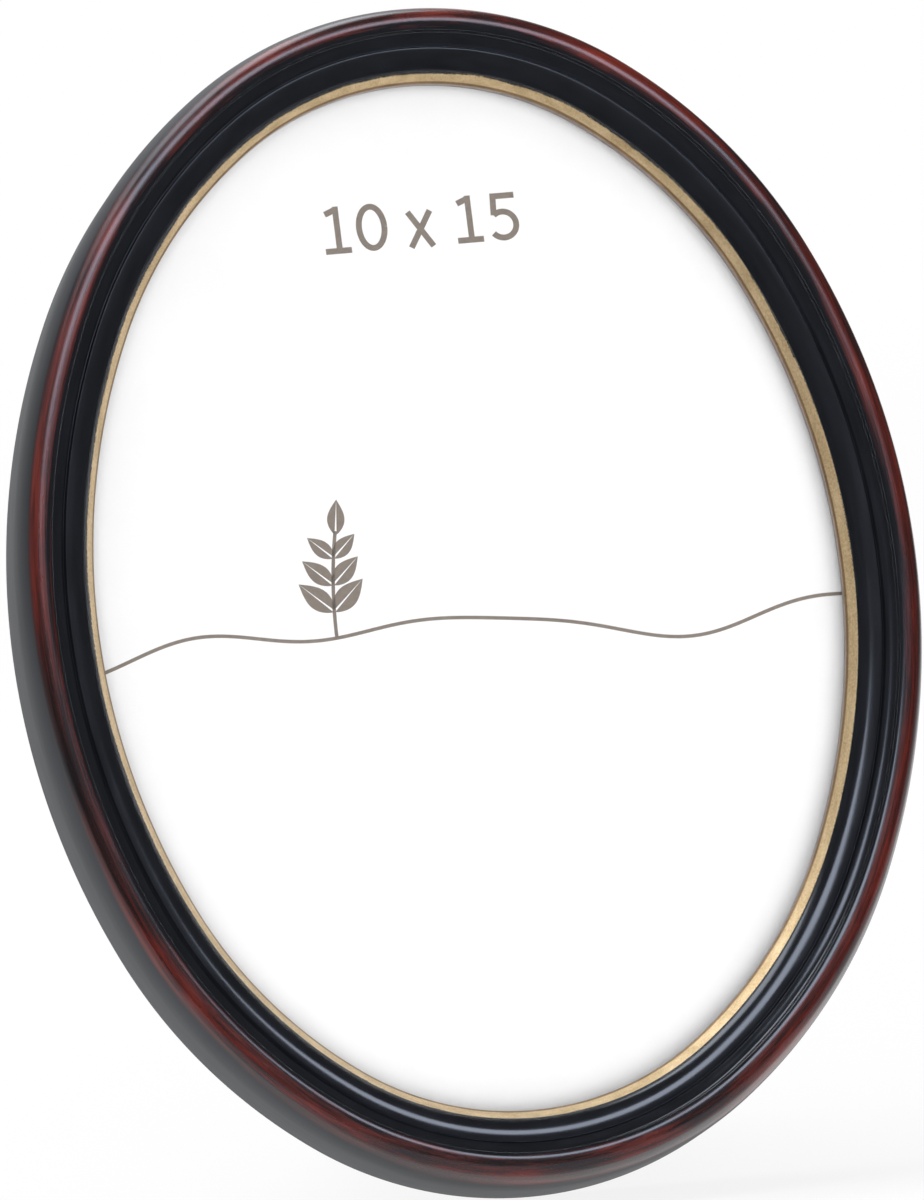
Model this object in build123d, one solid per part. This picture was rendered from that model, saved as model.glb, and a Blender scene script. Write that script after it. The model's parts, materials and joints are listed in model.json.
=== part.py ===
from build123d import *
import math
import os

# Oval table frame for a small print: a moulding that holds glass, print, card and board, four turn
# buttons that keep the board in, an easel strut on a riveted hinge, and a ring to hang the frame by.
#
# It is modelled upright and then leaned back on its strut. While it is upright, X is to the right,
# +Y is behind the frame, Z is up and the oval's centre is at X = 0, Z = 0. A height is measured
# forwards (along -Y) from the moulding's back plane, so what lies behind that plane has a height
# below zero. Sizes are millimetres, angles are degrees.

# Sight opening, the oval that shows from the front: arcs for its sides, shoulders and ends
sight_width = 105.2
sight_height = 145.0
side_turn = 25.0               # how far a side's arc turns, from the short axis
shoulder_turn = 54.0           # how far round, from the short axis, a shoulder's arc ends
shoulder_radius_share = 1.02   # of the mean of the half width and the half height

# What lies in the rabbet, from the front to the back
lip_thickness = 1.4            # wood between the sight edge and the rabbet's shelf
glass_thickness = 2.0
print_thickness = 0.3
card_thickness = 3.1
board_thickness = 3.0
board_recess = 0.3             # the board lies this far inside the moulding's back plane
rabbet_width = 3.0             # from the sight edge out to the rabbet's wall
rabbet_play = 0.4              # between the rabbet's wall and what lies in it

# Moulding section, outwards from the sight edge
gold_width = 1.3
gold_rise = 1.5
gold_step = 0.35               # small upright step from the gold to the inner ridge
ridge_width = 3.05
ridge_rise = 1.45
ridge_crown = 0.55
groove_width = 0.6
groove_depth = 0.5
low_ridge_width = 1.25
low_ridge_rise = 0.35
cove_size = 0.3                # of the flat cove at the foot of the bead's flank
bead_radius = 2.7
bead_lift = 3.0                # the bead's centre above the sight edge
bead_start_angle = 129.0       # where the bead leaves its flank, from the outward direction
bead_outer_width = 2.6         # from the bead's crest out to the moulding's side
bead_outer_fall = 8.3          # from the crest down to where the side stands square to the back
back_chamfer = 0.4             # eased outer back edge, which stands on the table

# Stance
lean = 17.0                    # of the frame, back from upright
easel_opening = 29.0           # of the strut, away from the board

# Turn buttons and their screws
button_place_angle = 36.0      # of the oval's normal there, from its short axis
button_thickness = 0.8
button_collar_radius = 3.2
button_tip_radius = 2.2
button_overlap = 5.0           # of the tongue over the board
button_play = 0.05             # under and over the button
screw_radius = 1.2
screw_length = 5.5             # in the wood
screw_head_radius = 2.4
screw_head_height = 1.3
screw_head_round = 0.5

# Fits
running_clearance = 0.05       # round the hinge pin, the ring, the screws and the rivets

# Easel hinge
pin_height_on_oval = 25.0      # of the hinge pin above the oval's centre
pin_radius = 1.0
pin_head_radius = 1.6
pin_head_thickness = 0.5
pin_head_gap = 0.15
hinge_sheet = 0.8
hinge_end_knuckle = 4.7        # each of the strut leaf's two knuckles
hinge_mid_knuckle = 5.0        # each of the board leaf's two knuckles
stop_tab_width = 7.4
knuckle_gap = 0.3
knuckle_relief = 0.4           # between a leaf's notch and the other leaf's knuckle
curl_seam = 0.25               # where a rolled edge meets its own sheet
board_leaf_length = 15.0
strut_leaf_length = 17.0
leaf_corner_radius = 2.5
stop_gap = 0.05                # left at the stop when the easel is open

# Rivets
rivet_radius = 1.2
rivet_head_radius = 2.3
rivet_head_height = 0.8
rivet_inset = 0.2              # of the clinched end inside the far face
rivet_edge_distance = 4.6      # from a leaf's ends and sides to its rivets

# Easel strut
strut_thickness = 2.3
strut_side_margin = 1.5        # of the strut past each side of its leaf
strut_foot_width = 38.0
strut_foot_round = 5.0
strut_top_round = 2.0

# Hanger
ring_axis_on_oval = 61.0       # of the ring's bar above the oval's centre
ring_wire_radius = 0.75
ring_width = 13.0              # between the middles of the ring's sides
ring_length = 10.5             # from the bar's middle to the bow's
ring_top_round = 1.4
ring_bow_round = 6.2
strap_sheet = 0.6
strap_width = 8.0
strap_length = 8.6
strap_corner_radius = 2.0
strap_rivet_drop = 5.0         # of the rivet below the ring's bar
strap_rivet_head_height = 0.6

# Flats that stand for curves, so that the model stays light. On the moulding they lie within a few
# hundredths of a millimetre of the round.
bead_inner_flats = 3
bead_outer_flats = 6
ridge_flats = 4
fastener_sides = 16            # of each rivet, screw and their holes
wire_sides = 10                # of the hanging ring's wire

# Worked out from the sizes above
sight_x = sight_width / 2
sight_z = sight_height / 2
board_back_height = board_recess
board_front_height = board_back_height + board_thickness
card_front_height = board_front_height + card_thickness
print_front_height = card_front_height + print_thickness
shelf_height = print_front_height + glass_thickness
sight_edge_height = shelf_height + lip_thickness
flank_offset = gold_width + ridge_width + groove_width + low_ridge_width + cove_size
bead_middle_offset = flank_offset - bead_radius * math.cos(math.radians(bead_start_angle))
moulding_width = bead_middle_offset + bead_outer_width
screw_offset = (rabbet_width + moulding_width) / 2
knuckle_bore = pin_radius + running_clearance
knuckle_radius = knuckle_bore + hinge_sheet
pin_y = knuckle_radius - board_back_height
pin_z = pin_height_on_oval
mid_knuckle_x = (stop_tab_width + hinge_mid_knuckle) / 2 + knuckle_gap
end_knuckle_x = mid_knuckle_x + (hinge_mid_knuckle + hinge_end_knuckle) / 2 + knuckle_gap
leaf_width = 2 * end_knuckle_x + hinge_end_knuckle
rivet_x = leaf_width / 2 - rivet_edge_distance
strut_top_z = pin_z - knuckle_radius - knuckle_relief
floor_drop = ((sight_z + moulding_width) * math.cos(math.radians(lean))
              - back_chamfer * math.sin(math.radians(lean)))
pin_above_floor = (floor_drop + pin_z * math.cos(math.radians(lean))
                   - pin_y * math.sin(math.radians(lean)))
strut_angle = math.radians(easel_opening - lean)
strut_length = (pin_above_floor + knuckle_bore * math.sin(strut_angle)) / math.cos(strut_angle)
strap_bore = ring_wire_radius + running_clearance
ring_y = strap_bore + strap_sheet - board_back_height
ring_z = ring_axis_on_oval
board_rivet_z = pin_z + board_leaf_length - rivet_edge_distance
strut_rivet_z = pin_z - strut_leaf_length + rivet_edge_distance
strap_rivet_z = ring_z - strap_rivet_drop


def facing(height):
    """The plane parallel to the frame's face at a height, with X right, Y up and its normal forwards."""
    return Plane.XZ.offset(height)


def beside(y, z, back, up):
    """The plane square to X through (y, z). Back and up are 1 or -1: the ways its X and Y point."""
    return Plane(origin=(0, y, z), x_dir=(0, back, 0), z_dir=(back * up, 0, 0))


def oval_radii():
    """The radii of the sight oval's side, shoulder and end arcs, which meet without a corner and
    reach the half width and the half height."""
    side = math.radians(side_turn)
    shoulder = math.radians(shoulder_turn)
    shoulder_radius = shoulder_radius_share * math.sqrt(sight_x * sight_z)
    across = sight_x - shoulder_radius * (math.cos(side) - math.cos(shoulder))
    up = sight_z - shoulder_radius * (math.sin(shoulder) - math.sin(side))
    scale = (1 - math.cos(side)) * (1 - math.sin(shoulder)) - math.cos(shoulder) * math.sin(side)
    side_radius = (across * (1 - math.sin(shoulder)) - up * math.cos(shoulder)) / scale
    end_radius = (up * (1 - math.cos(side)) - across * math.sin(side)) / scale
    return side_radius, shoulder_radius, end_radius


def oval_arcs():
    """The sight oval from its right-hand point round to it again: each arc's middle, radius, start
    angle and turn."""
    side_radius, shoulder_radius, end_radius = oval_radii()
    side_x = sight_x - side_radius
    shoulder_x = side_x + (side_radius - shoulder_radius) * math.cos(math.radians(side_turn))
    shoulder_z = (side_radius - shoulder_radius) * math.sin(math.radians(side_turn))
    end_z = sight_z - end_radius
    turn = shoulder_turn - side_turn
    end_turn = 2 * (90 - shoulder_turn)
    return [
        ((side_x, 0), side_radius, 0, side_turn),
        ((shoulder_x, shoulder_z), shoulder_radius, side_turn, turn),
        ((0, end_z), end_radius, shoulder_turn, end_turn),
        ((-shoulder_x, shoulder_z), shoulder_radius, 180 - shoulder_turn, turn),
        ((-side_x, 0), side_radius, 180 - side_turn, 2 * side_turn),
        ((-shoulder_x, -shoulder_z), shoulder_radius, 180 + side_turn, turn),
        ((0, -end_z), end_radius, 180 + shoulder_turn, end_turn),
        ((shoulder_x, -shoulder_z), shoulder_radius, 360 - shoulder_turn, turn),
        ((side_x, 0), side_radius, 360 - side_turn, side_turn),
    ]


def oval_line(growth):
    """The line that runs outside the sight oval by the growth."""
    with BuildLine() as line:
        for middle, radius, start, turn in oval_arcs():
            CenterArc(middle, radius + growth, start, turn)
    return line.line


def oval_plate(growth, back_height, thickness):
    """A flat oval plate, larger all round than the sight opening by the growth."""
    return extrude(facing(back_height) * make_face(oval_line(growth)), amount=thickness)


def shoulder_place(quarter, angle, offset):
    """A point outside a shoulder of the sight oval by the offset, with the oval's normal there. The
    angle is the normal's, from the short axis, in the quarter 0, 1, 2 or 3 from the upper right."""
    side_x = -1 if quarter in (1, 2) else 1
    side_z = -1 if quarter in (2, 3) else 1
    (middle_x, middle_z), radius, _, _ = oval_arcs()[1]
    x = side_x * (middle_x + (radius + offset) * math.cos(math.radians(angle)))
    z = side_z * (middle_z + (radius + offset) * math.sin(math.radians(angle)))
    normal = math.atan2(side_z * math.sin(math.radians(angle)), side_x * math.cos(math.radians(angle)))
    return x, z, math.degrees(normal)


def bore_through(radius, x, z, low_height, high_height):
    """A fastener's shank or hole along the frame's own depth, at (x, z), between two heights."""
    outline = RegularPolygon(radius, fastener_sides)
    return extrude(facing(low_height) * Pos(x, z) * outline, amount=high_height - low_height)


def rivet_hole(x, z, low_height, high_height):
    """The cutter of a rivet's hole between two heights."""
    return bore_through(rivet_radius + running_clearance, x, z, low_height, high_height)


def flats(curve, count):
    """The corners of the flats that stand for a curve."""
    return [curve @ (index / count) for index in range(count + 1)]


def falling_flats(crest, width, fall, count):
    """The corners of the flats that stand for a quarter of an ellipse, from below its crest to where
    it is upright, outwards by the width and down by the fall."""
    turns = [math.radians(90 * (index + 1) / count) for index in range(count)]
    return [(crest[0] + width * math.sin(turn), crest[1] - fall * (1 - math.cos(turn))) for turn in turns]


def moulding_section():
    """The moulding cut square across: X is outwards from the sight edge, Y is height."""
    sight_edge = (0, sight_edge_height)
    gold_edge = (gold_width, sight_edge_height + gold_rise)
    ridge_foot = (gold_width, gold_edge[1] + gold_step)
    ridge_end = (gold_width + ridge_width, ridge_foot[1] + ridge_rise)
    groove_bottom = (ridge_end[0] + groove_width / 2, ridge_end[1] - groove_depth)
    low_ridge_start = (ridge_end[0] + groove_width, ridge_end[1])
    low_ridge_end = (flank_offset - cove_size, low_ridge_start[1] + low_ridge_rise)
    flank_foot = (flank_offset, low_ridge_end[1] + cove_size)
    bead_middle = (bead_middle_offset, sight_edge_height + bead_lift)
    bead_crest = (bead_middle[0], bead_middle[1] + bead_radius)
    ridge = SagittaArc(ridge_foot, ridge_end, ridge_crown)
    bead = CenterArc(bead_middle, bead_radius, bead_start_angle, 90 - bead_start_angle)
    outline = Polyline(
        (rabbet_width, 0), (rabbet_width, shelf_height), (0, shelf_height), sight_edge, gold_edge,
        *flats(ridge, ridge_flats), groove_bottom, low_ridge_start, low_ridge_end, flank_foot,
        *flats(bead, bead_inner_flats),
        *falling_flats(bead_crest, bead_outer_width, bead_outer_fall, bead_outer_flats),
        (moulding_width, back_chamfer), (moulding_width - back_chamfer, 0), close=True)
    return make_face(outline)


def button_places():
    """Where the turn buttons sit, by name: a point on the moulding's back and the oval's normal there."""
    names = ("upper_right", "upper_left", "lower_left", "lower_right")
    return {name: shoulder_place(quarter, button_place_angle, screw_offset)
            for quarter, name in enumerate(names)}


def moulding():
    """The oval moulding: its section swept round the sight oval, with pilot holes in its back."""
    start = Plane(origin=(sight_x, 0, 0), x_dir=(1, 0, 0), z_dir=(0, 0, -1))
    ring = sweep(start * moulding_section(), path=facing(0) * oval_line(0))
    for x, z, _ in button_places().values():
        ring -= bore_through(screw_radius + running_clearance, x, z, 0, screw_length + running_clearance)
    return ring


def back_board():
    """The hardboard back, with the holes of its rivets."""
    board = oval_plate(rabbet_width - rabbet_play, board_back_height, board_thickness)
    places = [(-rivet_x, board_rivet_z), (rivet_x, board_rivet_z), (0, strap_rivet_z)]
    for x, z in places:
        board -= rivet_hole(x, z, board_back_height, board_front_height)
    return board


def turn_button(x, z, normal):
    """A flat steel button: a round collar on its screw and a tongue that points in over the board."""
    reach = screw_offset - rabbet_width + button_overlap
    place = facing(-button_play - button_thickness) * Location((x, z, 0), (0, 0, normal + 180))
    collar = Circle(button_collar_radius)
    tip = Pos(reach - button_tip_radius, 0) * Circle(button_tip_radius)
    outline = make_hull((collar + tip).edges())
    hole = RegularPolygon(screw_radius + running_clearance, fastener_sides)
    return extrude(place * (outline - hole), amount=button_thickness)


def turn_button_screw(x, z):
    """A pan-head wood screw, standing in the moulding's back."""
    seat = -2 * button_play - button_thickness
    shank = bore_through(screw_radius, x, z, seat, screw_length)
    head = bore_through(screw_head_radius, x, z, seat - screw_head_height, seat)
    return shank + chamfer(head.edges().group_by(Axis.Y)[-1], screw_head_round)


def rolled_sheet(bore, sheet, length):
    """A sheet with one edge rolled round a bore at the origin. The sheet lies along +Y, on the +X
    side, and the roll comes round to a seam against it."""
    roll = Circle(bore + sheet) - Circle(bore)
    strip = Pos(bore + sheet / 2, length / 2) * Rectangle(sheet, length)
    seam = Pos(bore - curl_seam / 2, (bore + sheet) / 2) * Rectangle(curl_seam, bore + sheet)
    return roll - seam + strip


def across(profile, place, x, width):
    """A profile drawn square to X, made into a solid of a width about a place along X."""
    return Pos(x, 0, 0) * extrude(place * profile, amount=width / 2, both=True)


def leaf_outline(length, notch_places, notch_width):
    """A hinge leaf laid flat, with the pin along X at Y = 0, and notches round the other leaf's knuckles."""
    outline = Pos(0, length / 2) * Rectangle(leaf_width, length)
    outline = fillet(outline.vertices().group_by(Axis.Y)[-1], leaf_corner_radius)
    notch_depth = knuckle_radius + knuckle_relief
    for x in notch_places:
        outline -= Pos(x, notch_depth / 2) * Rectangle(notch_width + 2 * knuckle_gap, notch_depth)
    return outline


def hinge_board_leaf():
    """The upper leaf, flat on the board, with two knuckles and the face that the stop tab meets."""
    flat = leaf_outline(board_leaf_length, (-end_knuckle_x, end_knuckle_x), hinge_end_knuckle)
    leaf = extrude(facing(board_back_height - hinge_sheet) * Pos(0, pin_z) * flat, amount=hinge_sheet)
    roll = rolled_sheet(knuckle_bore, hinge_sheet, knuckle_radius)
    for x in (-mid_knuckle_x, mid_knuckle_x):
        leaf += across(roll, beside(pin_y, pin_z, -1, 1), x, hinge_mid_knuckle)
    for x in (-rivet_x, rivet_x):
        leaf -= rivet_hole(x, board_rivet_z, -pin_y, board_back_height)
    return leaf


def hinge_strut_leaf():
    """The lower leaf, folded: two end knuckles, and a tab in the middle that stops the easel."""
    opening = math.radians(easel_opening)
    tab_length = (knuckle_bore * (1 + math.cos(opening)) - stop_gap) / math.sin(opening)
    flat = leaf_outline(strut_leaf_length, (-mid_knuckle_x, mid_knuckle_x), hinge_mid_knuckle)
    flat = Rot(0, 0, 180) * flat + Pos(0, tab_length / 2) * Rectangle(stop_tab_width, tab_length)
    leaf = extrude(facing(-pin_y - knuckle_radius) * Pos(0, pin_z) * flat, amount=hinge_sheet)
    roll = rolled_sheet(knuckle_bore, hinge_sheet, knuckle_radius)
    for x in (-end_knuckle_x, end_knuckle_x):
        leaf += across(roll, beside(pin_y, pin_z, 1, -1), x, hinge_end_knuckle)
    for x in (-rivet_x, rivet_x):
        leaf -= rivet_hole(x, strut_rivet_z, -pin_y - knuckle_radius, -pin_y)
    return leaf


def hinge_pin():
    """The pin through all the knuckles, with a peened head at each end."""
    shank_length = leaf_width + 2 * pin_head_gap
    pin = across(Circle(pin_radius), beside(pin_y, pin_z, 1, 1), 0, shank_length)
    for side in (-1, 1):
        middle = side * (shank_length + pin_head_thickness) / 2
        pin += across(Circle(pin_head_radius), beside(pin_y, pin_z, 1, 1), middle, pin_head_thickness)
    return pin


def rivet(x, z, seat_height, end_height, head_height):
    """A rivet with a bevelled head behind its seat and a shank that runs forwards to its end."""
    shank = bore_through(rivet_radius, x, z, seat_height, end_height)
    head = bore_through(rivet_head_radius, x, z, seat_height - head_height, seat_height)
    return shank + chamfer(head.edges().group_by(Axis.Y)[-1], head_height / 2)


def easel_strut():
    """The strut, folded: it widens towards its foot, which the table's plane cuts later."""
    top = leaf_width / 2 + strut_side_margin
    foot = strut_foot_width / 2
    foot_z = pin_z - strut_length
    outline = Polygon((top, strut_top_z), (-top, strut_top_z), (-foot, foot_z), (foot, foot_z), align=None)
    outline = fillet(outline.vertices().group_by(Axis.Y)[-1], strut_top_round)
    outline = fillet(outline.vertices().group_by(Axis.Y)[0], strut_foot_round)
    strut = extrude(facing(-pin_y - knuckle_bore) * outline, amount=strut_thickness)
    for x in (-rivet_x, rivet_x):
        strut -= rivet_hole(x, strut_rivet_z, -pin_y - knuckle_bore, 0)
    return strut


def hanger_strap():
    """The strap, rolled round the ring's bar at its top and riveted flat on the board below it."""
    profile = rolled_sheet(strap_bore, strap_sheet, strap_length)
    strap = across(profile, beside(ring_y, ring_z, -1, -1), 0, strap_width)
    lower_corners = strap.edges().filter_by(Axis.Y).group_by(Axis.Z)[0]
    strap = fillet(lower_corners, strap_corner_radius)
    return strap - rivet_hole(0, strap_rivet_z, -ring_y, board_back_height)


def hanger_ring():
    """The closed wire ring, hanging straight down from its bar at the origin's height on the board."""
    side = ring_width / 2
    corners = [(-side, 0), (side, 0), (side, -ring_length), (-side, -ring_length)]
    rounds = [ring_top_round, ring_top_round, ring_bow_round, ring_bow_round]
    flat = FilletPolyline(*corners, radius=rounds, close=True)
    path = facing(-ring_y) * Pos(0, ring_z) * flat
    start = path.edges()[0]
    wire = Plane(origin=start @ 0, z_dir=start % 0) * RegularPolygon(ring_wire_radius, wire_sides)
    return sweep(wire, path=path.wire())


def turned(shape, y, z, angle):
    """A shape turned about the line along X through (y, z). A positive angle moves what hangs below
    the line backwards."""
    return Pos(0, y, z) * Rot(angle, 0, 0) * Pos(0, -y, -z) * shape


def upright_nodes():
    """Every node of the frame before it is leaned back, with the easel open and the ring hanging plumb."""
    in_rabbet = rabbet_width - rabbet_play
    board_seat = board_back_height - hinge_sheet
    board_end = board_front_height - rivet_inset
    strut_seat = -pin_y - knuckle_radius
    strut_end = -pin_y - knuckle_bore + strut_thickness - rivet_inset
    nodes = {
        "moulding": moulding(),
        "glass": oval_plate(in_rabbet, print_front_height, glass_thickness),
        "print_insert": oval_plate(in_rabbet, card_front_height, print_thickness),
        "filler_card": oval_plate(in_rabbet, board_front_height, card_thickness),
        "back_board": back_board(),
        "turn_button_screws": Compound([turn_button_screw(x, z) for x, z, _ in button_places().values()]),
        "hinge_board_leaf": hinge_board_leaf(),
        "hinge_pin": hinge_pin(),
        "board_rivets": Compound([rivet(x, board_rivet_z, board_seat, board_end, rivet_head_height)
                                  for x in (-rivet_x, rivet_x)]),
        "hanger_strap": hanger_strap(),
        "hanger_rivet": rivet(0, strap_rivet_z, board_back_height - strap_sheet, board_end,
                              strap_rivet_head_height),
    }
    for name, place in button_places().items():
        nodes["turn_button_" + name] = turn_button(*place)
    easel = {
        "hinge_strut_leaf": hinge_strut_leaf(),
        "strut_rivets": Compound([rivet(x, strut_rivet_z, strut_seat, strut_end, rivet_head_height)
                                  for x in (-rivet_x, rivet_x)]),
        "easel_strut": easel_strut(),
    }
    for name, shape in easel.items():
        nodes[name] = turned(shape, pin_y, pin_z, easel_opening)
    nodes["hanger_ring"] = turned(hanger_ring(), ring_y, ring_z, lean)
    return nodes


def standing_nodes():
    """Every node with the frame leaned back on the table. The origin is at the middle of the whole
    part's bounding box in X and Y, and at the table in Z."""
    nodes = {name: Rot(-lean, 0, 0) * shape for name, shape in upright_nodes().items()}
    below = (Align.CENTER, Align.CENTER, Align.MAX)
    table = Pos(0, 0, -floor_drop) * Box(strut_foot_width * 2, strut_length * 2, strut_length, align=below)
    nodes["easel_strut"] -= table
    boxes = [shape.bounding_box() for shape in nodes.values()]
    middle_y = (min(box.min.Y for box in boxes) + max(box.max.Y for box in boxes)) / 2
    return {name: Pos(0, -middle_y, floor_drop) * shape for name, shape in nodes.items()}


os.makedirs("parts", exist_ok=True)
for node_name, node_shape in standing_nodes().items():
    export_step(node_shape, "parts/" + node_name + ".step")
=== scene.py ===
import json
import bmesh
import bpy
from math import asin, atan2, cos, degrees, pi, radians, sin, sqrt, tan
from mathutils import Matrix, Vector


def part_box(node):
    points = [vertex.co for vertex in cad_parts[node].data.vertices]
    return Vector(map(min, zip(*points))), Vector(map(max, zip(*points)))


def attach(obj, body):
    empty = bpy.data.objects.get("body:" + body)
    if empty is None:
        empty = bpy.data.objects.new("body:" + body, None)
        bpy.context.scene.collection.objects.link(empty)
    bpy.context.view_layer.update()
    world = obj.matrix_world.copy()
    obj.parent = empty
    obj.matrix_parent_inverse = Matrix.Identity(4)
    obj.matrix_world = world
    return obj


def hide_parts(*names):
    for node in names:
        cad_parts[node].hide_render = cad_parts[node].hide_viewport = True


# An oval table frame: lacquered moulding with a gilt sight edge and a mahogany bead, glass over a
# printed paper insert, and a hardboard back with an easel strut, turn buttons and a hanging ring.
#
# Places on the frame are written in its own upright axes, in millimetres: x to the right, z up the
# frame, and a height forwards from the moulding's back plane. The oval's centre is at x = 0, z = 0.

MM = 0.001

# Sight oval, and the moulding's section outwards from it
sight_width = 105.2
sight_height = 145.0
side_turn = 25.0
shoulder_turn = 54.0
shoulder_radius_share = 1.02
rabbet_width = 3.0
rabbet_play = 0.4
shelf_height = 8.7
lip_thickness = 1.4
gold_width = 1.3
gold_rise = 1.5
gold_step = 0.35
ridge_width = 3.05
ridge_rise = 1.45
ridge_crown = 0.39
groove_width = 0.6
groove_depth = 0.5
low_ridge_width = 0.75
low_ridge_rise = 0.39
low_ridge_crown = 0.02
cove_size = 0.8
bead_radius = 1.83
bead_lift = 3.87
bead_start_angle = 129.0
bead_outer_width = 3.147
bead_outer_fall = 8.3
bead_shoulder_radius = 2.2
back_chamfer = 0.4
arris_round = 0.12             # of the small edges, which the lacquer softens
crisp_round = 0.07             # of the edges of the steps and the groove
sight_round = 0.4              # of the sight edge
round_steps = 4                # rows of faces round a softened edge
bead_inner_steps = 14
bead_shoulder_steps = 20
bead_side_steps = 12
ridge_steps = 14
oval_step = 1                  # degrees between the moulding's columns of vertices
wood_inner_angle = 113.0       # where the mahogany starts on the bead's inner arc, from outward
wood_outer_turn = 77.7         # where it ends on the outer side, by how far that is turned from the crest
wood_right_drift = 2.2         # by which it ends further out at the right, and less far at the left
wood_bottom_drift = 1.35       # by which it ends further out at the bottom, and less far at the top
gold_margin = 0.12             # of the bevel that the gilding leaves bare at its outer edge
gold_drift = 0.16
grain_reach = (sight_width + sight_height) / 4
same_point = 1e-6              # a distance, in the unit that is in use there

# What lies behind the sight edge
glass_middle_height = 7.7
paper_front_height = 6.6       # an air gap of 0.1 behind the glass
paper_thickness = 0.2
ink_lift = 0.02                # of the printed shapes above the paper
ink_layer = 0.002              # of each printed shape above the one before it

# Turn buttons' screws
screw_radius = 1.2
screw_length = 5.5
screw_head_radius = 2.4
screw_head_height = 1.3
screw_rim = 0.35
screw_seat = -0.9              # its height
screw_turns = (12.0, 57.0, 31.0, 78.0)
recess_length = 2.9
recess_width = 0.62
recess_depth = 0.85
recess_taper_share = 0.5

# Rivets, hinge and strut
rivet_radius = 1.2
rivet_head_radius = 2.3
rivet_head_height = 0.8
rivet_rim = 0.15
rivet_shank = 2.0
rivet_x = 9.4
board_rivet_z = 35.4
strut_rivet_z = 12.6
strap_rivet_z = 56.0
strap_rivet_head_height = 0.6
leaf_back_height = -0.5
strut_leaf_back_height = -3.4
strap_back_height = -0.3
easel_opening = 29.0
hinge_width = 28.0
pin_radius = 1.0
pin_head_radius = 1.6
pin_head_thickness = 0.5
pin_head_gap = 0.15
pin_rim = 0.12
board_ease = 0.3
ease_angle = 40.0              # between faces, from where an edge is eased, or sharp on a turned piece
sharp_angle = 50.0             # and from where it is sharp on the others
sheet_ease = 0.12

# Hanging ring
ring_wire_radius = 0.75
ring_width = 13.0
ring_length = 10.5
ring_top_round = 1.4
ring_bow_round = 6.2
ring_corner_steps = 12
ring_sides = 20
round_sides = 32
dome_steps = round_sides // 4

# Printed insert
numeral_base = 50.0
numeral_height = 6.75
numeral_stroke = 0.84
one_places = (-11.8, 7.05)     # of the middles of the ones' stems
one_flag = (-1.55, -0.62)
one_foot = (-2.0, 1.7)
zero_middle = -6.93
zero_half_width = 1.8
cross_middle = -0.05
cross_half_width = 1.58
cross_height = 5.1
five_left = 10.72
five_right = 13.7
five_bowl_middle = (11.72, 2.2)
five_bowl_radius = 1.86
five_bowl_start = 130.0
five_bowl_end = -142.0
numeral_steps = 40
line_width = 0.5
hill_level = -4.6
hill_steps = 160
hill_wave_heights = (2.1, 1.3, 0.5)
hill_wave_turns = (1.0, 2.3, 3.7)
hill_wave_starts = (0.42, 0.15, 0.6)
sprig_x = -19.0
sprig_bend = 1.6
sprig_height = 15.0
sprig_pairs = 3
leaf_length = 6.2
leaf_width_share = 0.46
leaf_shrink_share = 0.13
leaf_spread = 47.0
leaf_fullness = 0.85
leaf_tip_lean = 8.0
tip_leaf_share = 0.8
leaf_steps = 18
midrib_gap = 0.3

# Finishes: tones as (place on the ramp, colour from 0 to 255), and noises as (scale per metre,
# detail, roughness) or, on the moulding, (scale per millimetre along it, across it, detail, roughness)
lacquer_tones = ((0.3, (18, 19, 23)), (0.7, (25, 27, 32)))
lacquer_clouds = (0.15, 0.8, 3.0, 0.55)
lacquer_roughness = 0.17
lacquer_tint = (0.82, 0.89, 1.0, 1.0)
cloud_roughness = 0.1          # by which the clouds change a roughness
wall_roughness = 0.5
wall_fade = 2.2
wood_tones = ((0.34, (20, 13, 14)), (0.46, (48, 19, 15)), (0.57, (86, 26, 17)), (0.72, (116, 40, 25)))
wood_streaks = (0.07, 1.7, 6.0, 0.66)
wood_fibres = (0.3, 7.0, 4.0, 0.6)
wood_fibre_share = 0.4
wood_patches = (0.05, 0.3, 2.0, 0.5)
wood_patch_depth = 0.7
wood_wander = 2.4              # by which the streaks move the wood's edges
wood_inner_fade = (-0.25, 0.9)
wood_outer_fade = (0.4, -0.9)
wood_roughness = 0.27
wood_bump_share = 0.08
gold_tones = ((0.32, (172, 145, 102)), (0.68, (236, 211, 168)))
# painted shade on the inner lip: its darker, duller tones, and the distances along the section between which
# they take over from the gilding
lip_shade_tones = ((0.32, (112, 88, 62)), (0.68, (156, 126, 92)))
lip_shade_fade = (0.5, 0.3)
gold_speckle = (5.0, 5.0, 3.0, 0.7)
gold_ragged = 1.0              # by which the speckle moves the gilding's edge
gold_wave = (0.12, 0.12, 2.0, 0.5)
gold_wander = 0.8
gold_fade = 0.06
gold_leaf = (4.0, 4.0, 4.0, 0.7)
gold_sweep = (0.25, 0.9, 3.0, 0.5)
gold_sweep_share = 0.4
gold_roughness = 0.28
gold_metallic = 0.62
moulding_bump = 0.02           # millimetres, as all bumps
paper_tones = ((0.3, (246, 246, 247)), (0.7, (251, 251, 251)))
paper_tooth = (2600.0, 4.0, 0.6)
paper_clouds = (60.0, 2.0, 0.5)
paper_roughness = 0.75
paper_gloss = 0.25
paper_bump = 0.01
ink_tones = ((0.3, (119, 107, 96)), (0.7, (130, 118, 106)))
ink_mottle = (1500.0, 3.0, 0.6)
ink_roughness = 0.7
glass_roughness = 0.03
glass_film = (90.0, 3.0, 0.5)
glass_film_cover = 0.02
# painted reflection: how the white cover grows at glancing angles, and how far it covers
glass_sheen_blend = 0.2
glass_sheen_cover = 0.35
card_tones = ((0.34, (120, 118, 114)), (0.66, (150, 148, 143)))
card_bump = 0.02
hardboard_tones = ((0.34, (74, 52, 36)), (0.66, (110, 80, 56)))
hardboard_bump = 0.03
board_fibres = (1400.0, 8.0, 0.72)
board_clouds = (70.0, 3.0, 0.5)
board_cloud_share = 0.35
board_flecks = 700.0
fleck_fade = (0.16, 0.04)
fleck_tone = 0.6               # of the darkest tone
board_roughnesses = (0.55, 0.8)
board_gloss = 0.3
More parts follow.
